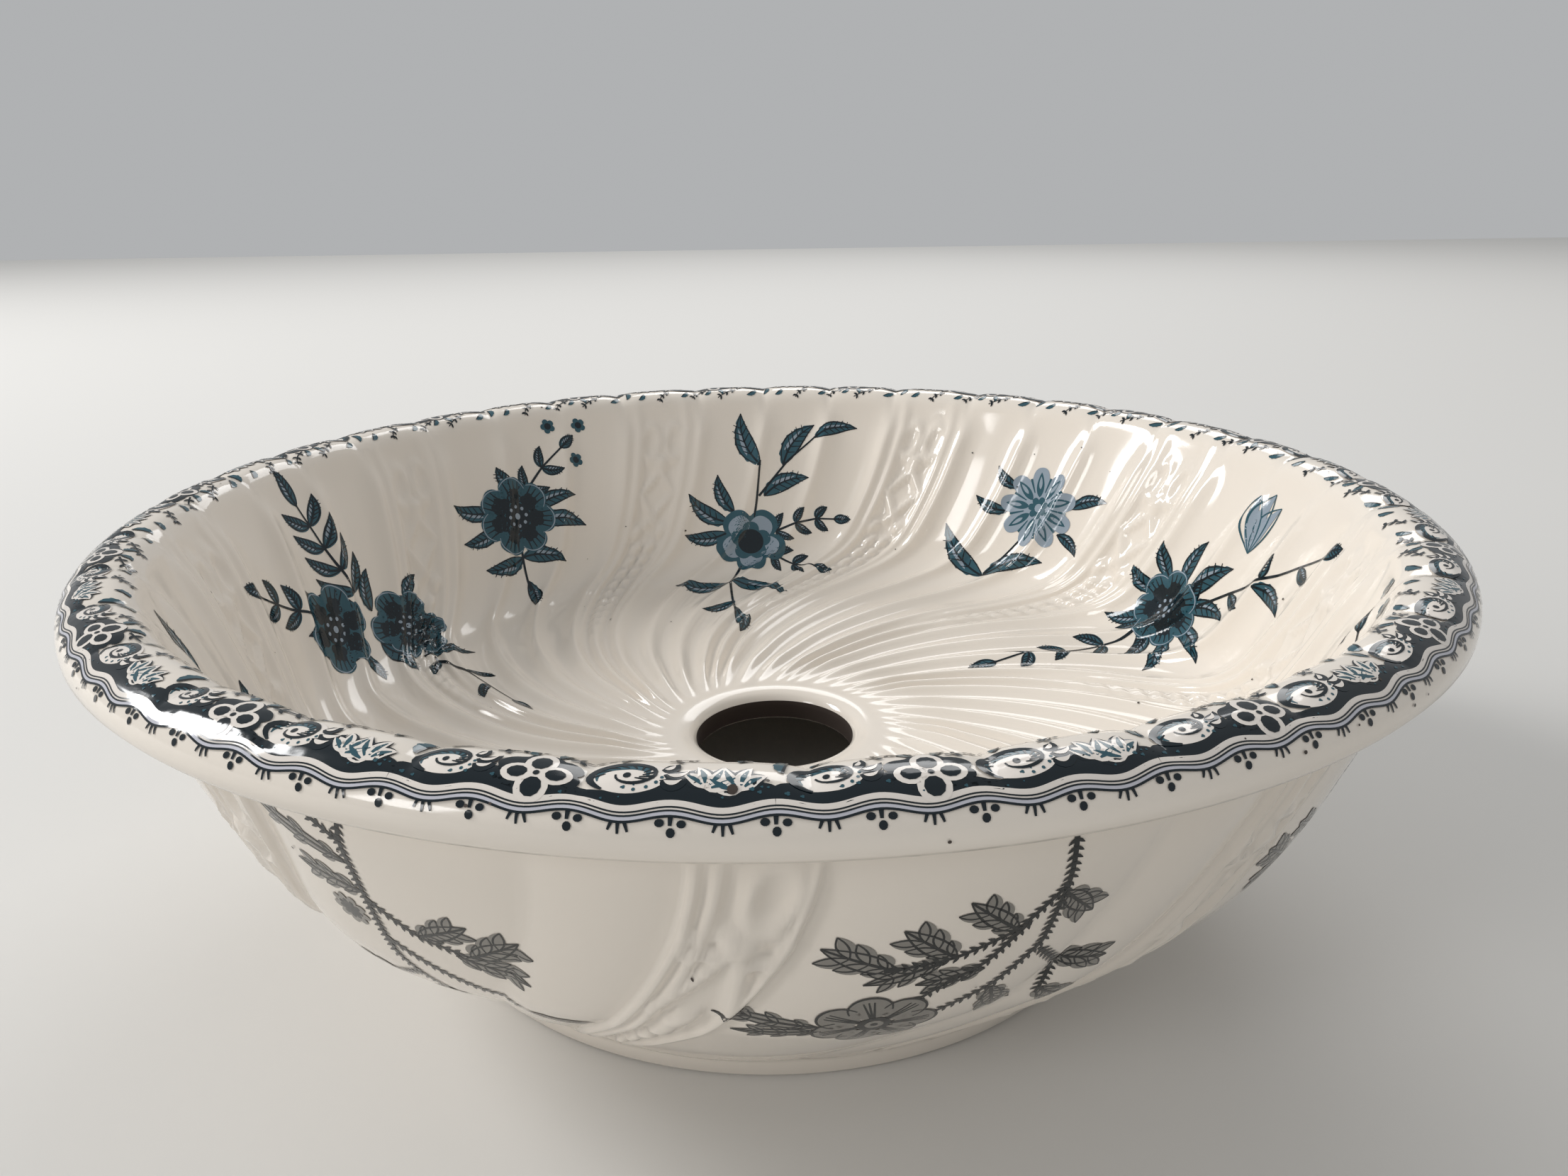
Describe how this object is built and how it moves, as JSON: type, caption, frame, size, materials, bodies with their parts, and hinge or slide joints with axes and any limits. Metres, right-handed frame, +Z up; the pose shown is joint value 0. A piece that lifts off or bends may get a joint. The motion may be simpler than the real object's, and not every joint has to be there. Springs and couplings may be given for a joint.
{
  "type": "fluted wash bowl with drain hole",
  "caption": "Round glazed wash bowl with fluted walls, a rolled rim, a foot ring and a drain hole.",
  "frame": {"origin": "on the bowl's axis, in the plane that the foot ring stands on", "axes": "+Z up along the bowl's axis; -Y towards the side that the picture was taken from"},
  "size_m": [0.34, 0.34, 0.1121],
  "materials": {
    "cream_glazed_earthenware": "glossy"
  },
  "bodies": {
    "root": {"bowl": "cream_glazed_earthenware"}
  },
  "joints": []
}
